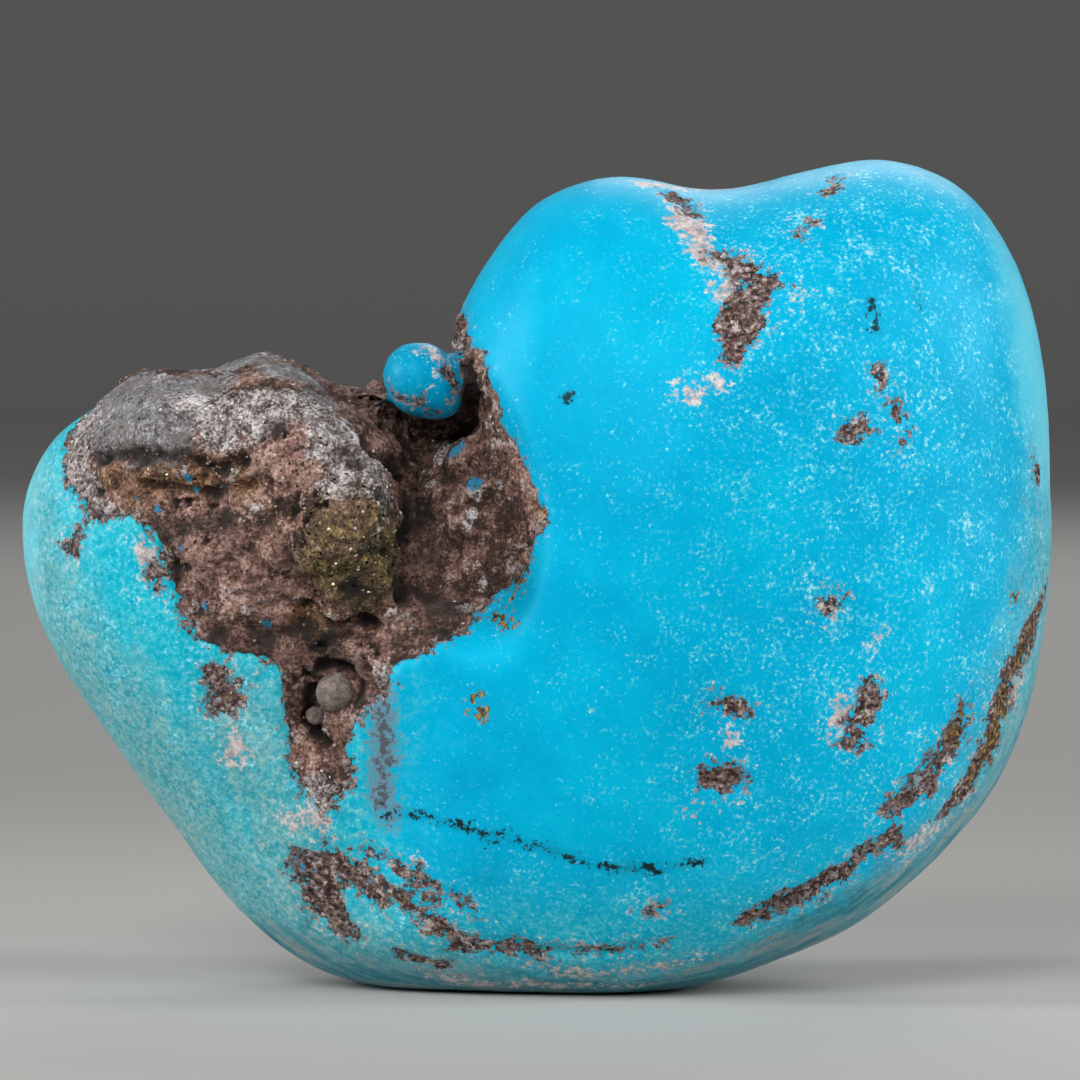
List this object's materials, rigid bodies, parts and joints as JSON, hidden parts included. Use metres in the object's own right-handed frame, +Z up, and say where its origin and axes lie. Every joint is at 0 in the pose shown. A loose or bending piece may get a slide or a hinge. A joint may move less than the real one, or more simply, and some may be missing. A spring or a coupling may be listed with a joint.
{
  "type": "turquoise nugget",
  "caption": "Tumbled natural turquoise nugget with a large and a small rounded lobe, a hollow of brown host rock between them and a worn flat foot, for display.",
  "frame": {"origin": "under the middle of the bounding box, on the surface that the nugget stands on", "axes": "+X from the small lobe to the large lobe, along the nugget's length; +Y from the face with the hollow to the back; +Z up"},
  "size_m": [0.03, 0.0152, 0.0239],
  "materials": {
    "turquoise": "tumbled, softly shining"
  },
  "bodies": {
    "root": {"nugget": "turquoise"}
  },
  "joints": []
}
